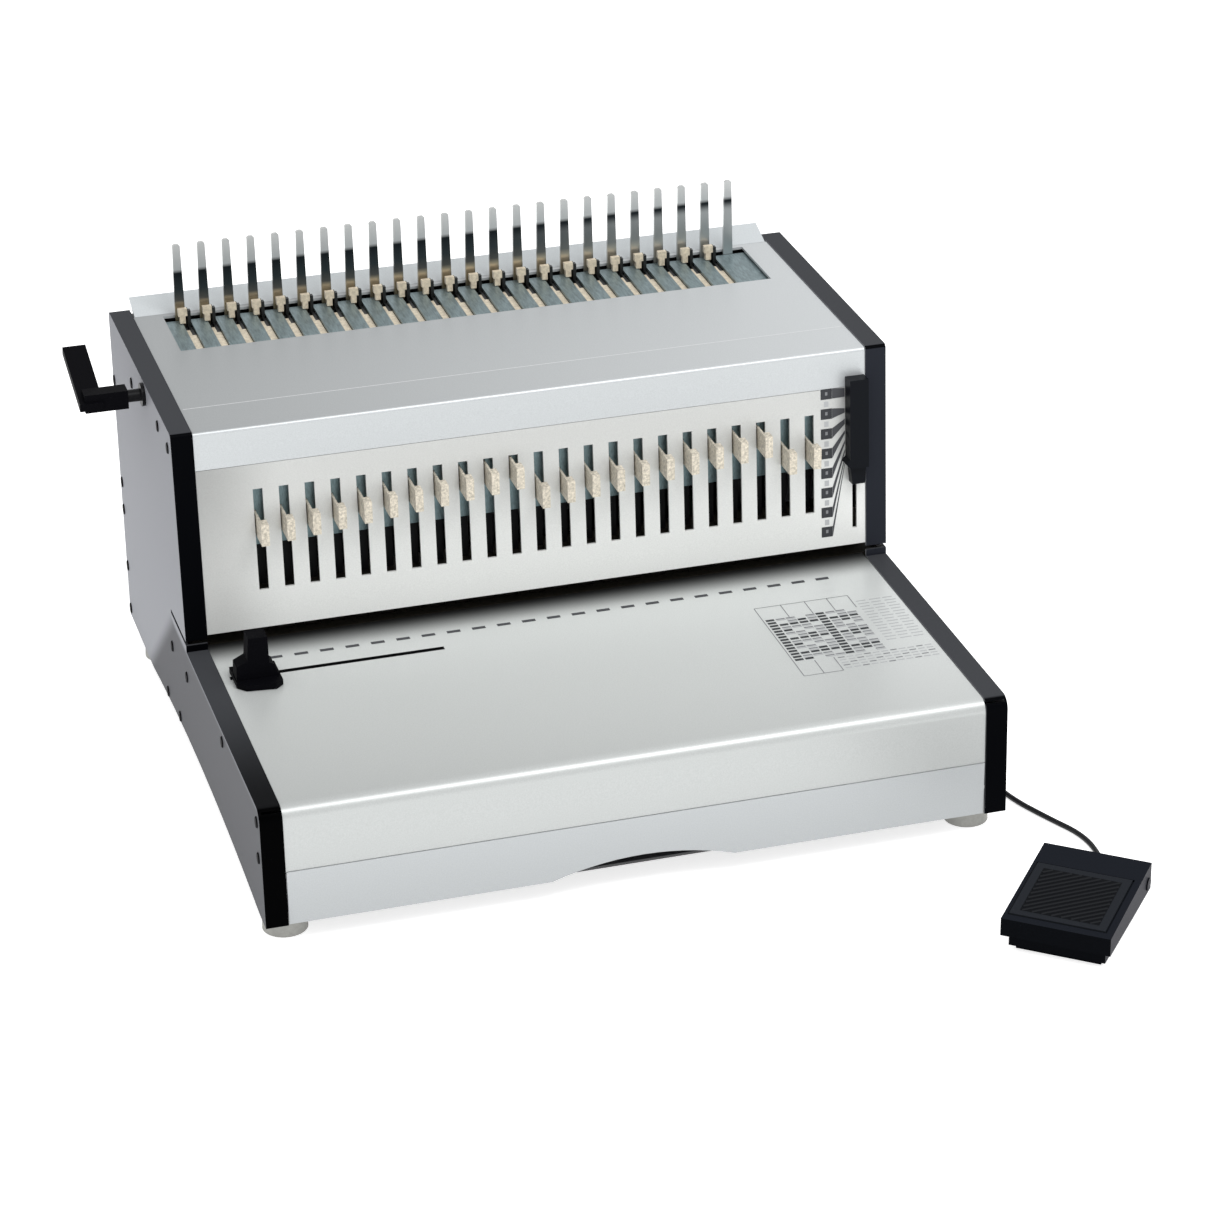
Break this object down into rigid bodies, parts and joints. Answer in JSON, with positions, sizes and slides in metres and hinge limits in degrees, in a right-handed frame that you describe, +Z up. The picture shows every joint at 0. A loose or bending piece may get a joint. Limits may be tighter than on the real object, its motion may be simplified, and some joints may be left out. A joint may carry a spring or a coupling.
{
  "type": "comb binding machine",
  "caption": "Desktop comb binding machine: stepped sheet-metal case, slotted punch front with pull-out pin tabs, ring-opening fingers, side lever, chip drawer and wired foot pedal.",
  "frame": {"origin": "on the floor, in the middle of the footprint of the machine, its lever and its foot pedal (the cord left out)", "axes": "+X to the operator's right, +Y to the rear, +Z up; the operator works from the -Y side"},
  "size_m": [0.4847, 0.6304, 0.249],
  "materials": {
    "case_black": "semi-gloss black powder coat",
    "cover_light": "fine light grey powder coat",
    "drawer_light": "fine light grey powder coat",
    "chassis_steel": "black powder coat",
    "foot_rubber": "moulded grey rubber",
    "slit_steel": "zinc-plated sheet",
    "finger_steel": "zinc-plated sheet",
    "hook_steel": "nickel-plated",
    "frame_steel": "grey primer on cast and machined steel",
    "ground_steel": "ground steel",
    "motor_can": "black enamel",
    "lever_black": "satin black moulding",
    "shaft_black": "blackened steel",
    "guide_black": "satin black moulding",
    "knob_black": "gloss black moulding",
    "board_green": "solder-masked board",
    "inlet_black": "black moulding",
    "rocker_black": "gloss black moulding",
    "pedal_black": "satin black coat",
    "pedal_floor": "satin black coat",
    "pad_rubber": "ribbed black rubber",
    "cord_black": "black PVC sleeve",
    "tab_nickel": "nickel-plated"
  },
  "bodies": {
    "machine": {"side_panel_left": "case_black", "side_panel_right": "case_black", "top_cover": "cover_light", "front_plate": "cover_light", "deck_cover": "cover_light", "bottom_plate": "chassis_steel", "rear_cover": "chassis_steel", "rear_fence": "cover_light", "rubber_feet": "foot_rubber", "slit_plate": "slit_steel", "comb_fingers": "finger_steel", "die_plate": "ground_steel", "punch_guide": "ground_steel", "guide_posts": "ground_steel", "motor": "motor_can", "gearbox": "frame_steel", "shaft_bearings": "frame_steel", "control_board": "board_green", "power_inlet": "inlet_black", "cord_gland": "inlet_black", "pedal_base": "pedal_floor", "pedal_cord": "cord_black", "cord_coil": "cord_black"},
    "opener": {"opener_shaft": "shaft_black", "opener_lever": "lever_black"},
    "idlers": {"idler_gears": "ground_steel"},
    "rake": {"rake_frame": "frame_steel", "rake_hooks": "hook_steel"},
    "punch": {"punch_bar": "frame_steel", "punch_pins": "ground_steel"},
    "cams": {"cam_shaft": "ground_steel"},
    "knob": {"size_knob": "knob_black"},
    "guide": {"edge_guide": "guide_black"},
    "drawer": {"chip_drawer": "drawer_light"},
    "tread": {"pedal_tread": "pedal_black", "tread_pad": "pad_rubber"},
    "rocker": {"power_rocker": "rocker_black"},
    "tab_01": {"pin_tab_01": "tab_nickel"},
    "tab_02": {"pin_tab_02": "tab_nickel"},
    "tab_03": {"pin_tab_03": "tab_nickel"},
    "tab_04": {"pin_tab_04": "tab_nickel"},
    "tab_05": {"pin_tab_05": "tab_nickel"},
    "tab_06": {"pin_tab_06": "tab_nickel"},
    "tab_07": {"pin_tab_07": "tab_nickel"},
    "tab_08": {"pin_tab_08": "tab_nickel"},
    "tab_09": {"pin_tab_09": "tab_nickel"},
    "tab_10": {"pin_tab_10": "tab_nickel"},
    "tab_11": {"pin_tab_11": "tab_nickel"},
    "tab_12": {"pin_tab_12": "tab_nickel"},
    "tab_13": {"pin_tab_13": "tab_nickel"},
    "tab_14": {"pin_tab_14": "tab_nickel"},
    "tab_15": {"pin_tab_15": "tab_nickel"},
    "tab_16": {"pin_tab_16": "tab_nickel"},
    "tab_17": {"pin_tab_17": "tab_nickel"},
    "tab_18": {"pin_tab_18": "tab_nickel"},
    "tab_19": {"pin_tab_19": "tab_nickel"},
    "tab_20": {"pin_tab_20": "tab_nickel"},
    "tab_21": {"pin_tab_21": "tab_nickel"},
    "tab_22": {"pin_tab_22": "tab_nickel"},
    "tab_23": {"pin_tab_23": "tab_nickel"}
  },
  "joints": [
    {"name": "opener_turn", "type": "hinge", "parent": "machine", "child": "opener", "pos_m": [-0.0052, 0.1541, 0.1985], "axis": [1, 0, 0], "range_deg": [0, 100]},
    {"name": "idler_turn", "type": "hinge", "parent": "machine", "child": "idlers", "pos_m": [-0.0052, 0.1541, 0.1702], "axis": [1, 0, 0], "range_deg": [-250, 0]},
    {"name": "rake_slide", "type": "slide", "parent": "machine", "child": "rake", "axis": [0, -1, 0], "range_m": [0, 0.035]},
    {"name": "punch_stroke", "type": "slide", "parent": "machine", "child": "punch", "axis": [0, 0, -1], "range_m": [0, 0.024]},
    {"name": "cam_turn", "type": "hinge", "parent": "machine", "child": "cams", "pos_m": [-0.0052, 0.1391, 0.15], "axis": [1, 0, 0], "range_deg": [0, 150]},
    {"name": "knob_slide", "type": "slide", "parent": "machine", "child": "knob", "axis": [0, -0.0559, -0.9984], "range_m": [0, 0.034]},
    {"name": "guide_slide", "type": "slide", "parent": "machine", "child": "guide", "axis": [1, 0, 0], "range_m": [0, 0.1]},
    {"name": "drawer_slide", "type": "slide", "parent": "machine", "child": "drawer", "axis": [0, -1, 0], "range_m": [0, 0.06]},
    {"name": "tread_rock", "type": "hinge", "parent": "machine", "child": "tread", "pos_m": [0.21423, -0.20131, 0.0155], "axis": [0.7738, -0.6334, 0], "range_deg": [0, 4], "stiffness_Nm_per_rad": 3, "springref_deg": -2.86},
    {"name": "rocker_tip", "type": "hinge", "parent": "machine", "child": "rocker", "pos_m": [-0.1552, 0.2616, 0.0655], "axis": [1, 0, 0], "range_deg": [0, 12]},
    {"name": "tab_01_pull", "type": "slide", "parent": "punch", "child": "tab_01", "axis": [0, -1, 0], "range_m": [0, 0.007]},
    {"name": "tab_02_pull", "type": "slide", "parent": "punch", "child": "tab_02", "axis": [0, -1, 0], "range_m": [0, 0.007]},
    {"name": "tab_03_pull", "type": "slide", "parent": "punch", "child": "tab_03", "axis": [0, -1, 0], "range_m": [0, 0.007]},
    {"name": "tab_04_pull", "type": "slide", "parent": "punch", "child": "tab_04", "axis": [0, -1, 0], "range_m": [0, 0.007]},
    {"name": "tab_05_pull", "type": "slide", "parent": "punch", "child": "tab_05", "axis": [0, -1, 0], "range_m": [0, 0.007]},
    {"name": "tab_06_pull", "type": "slide", "parent": "punch", "child": "tab_06", "axis": [0, -1, 0], "range_m": [0, 0.007]},
    {"name": "tab_07_pull", "type": "slide", "parent": "punch", "child": "tab_07", "axis": [0, -1, 0], "range_m": [0, 0.007]},
    {"name": "tab_08_pull", "type": "slide", "parent": "punch", "child": "tab_08", "axis": [0, -1, 0], "range_m": [0, 0.007]},
    {"name": "tab_09_pull", "type": "slide", "parent": "punch", "child": "tab_09", "axis": [0, -1, 0], "range_m": [0, 0.007]},
    {"name": "tab_10_pull", "type": "slide", "parent": "punch", "child": "tab_10", "axis": [0, -1, 0], "range_m": [0, 0.007]},
    {"name": "tab_11_pull", "type": "slide", "parent": "punch", "child": "tab_11", "axis": [0, -1, 0], "range_m": [0, 0.007]},
    {"name": "tab_12_pull", "type": "slide", "parent": "punch", "child": "tab_12", "axis": [0, -1, 0], "range_m": [0, 0.007]},
    {"name": "tab_13_pull", "type": "slide", "parent": "punch", "child": "tab_13", "axis": [0, -1, 0], "range_m": [0, 0.007]},
    {"name": "tab_14_pull", "type": "slide", "parent": "punch", "child": "tab_14", "axis": [0, -1, 0], "range_m": [0, 0.007]},
    {"name": "tab_15_pull", "type": "slide", "parent": "punch", "child": "tab_15", "axis": [0, -1, 0], "range_m": [0, 0.007]},
    {"name": "tab_16_pull", "type": "slide", "parent": "punch", "child": "tab_16", "axis": [0, -1, 0], "range_m": [0, 0.007]},
    {"name": "tab_17_pull", "type": "slide", "parent": "punch", "child": "tab_17", "axis": [0, -1, 0], "range_m": [0, 0.007]},
    {"name": "tab_18_pull", "type": "slide", "parent": "punch", "child": "tab_18", "axis": [0, -1, 0], "range_m": [0, 0.007]},
    {"name": "tab_19_pull", "type": "slide", "parent": "punch", "child": "tab_19", "axis": [0, -1, 0], "range_m": [0, 0.007]},
    {"name": "tab_20_pull", "type": "slide", "parent": "punch", "child": "tab_20", "axis": [0, -1, 0], "range_m": [0, 0.007]},
    {"name": "tab_21_pull", "type": "slide", "parent": "punch", "child": "tab_21", "axis": [0, -1, 0], "range_m": [0, 0.007]},
    {"name": "tab_22_pull", "type": "slide", "parent": "punch", "child": "tab_22", "axis": [0, -1, 0], "range_m": [0, 0.007]},
    {"name": "tab_23_pull", "type": "slide", "parent": "punch", "child": "tab_23", "axis": [0, -1, 0], "range_m": [0, 0.007]}
  ],
  "couplings": [
    {"joint": "opener_turn", "follows": "rake_slide", "rad_per_m": 49.866},
    {"joint": "idler_turn", "follows": "rake_slide", "rad_per_m": -124.67},
    {"joint": "cam_turn", "follows": "punch_stroke", "rad_per_m": 109.08}
  ]
}
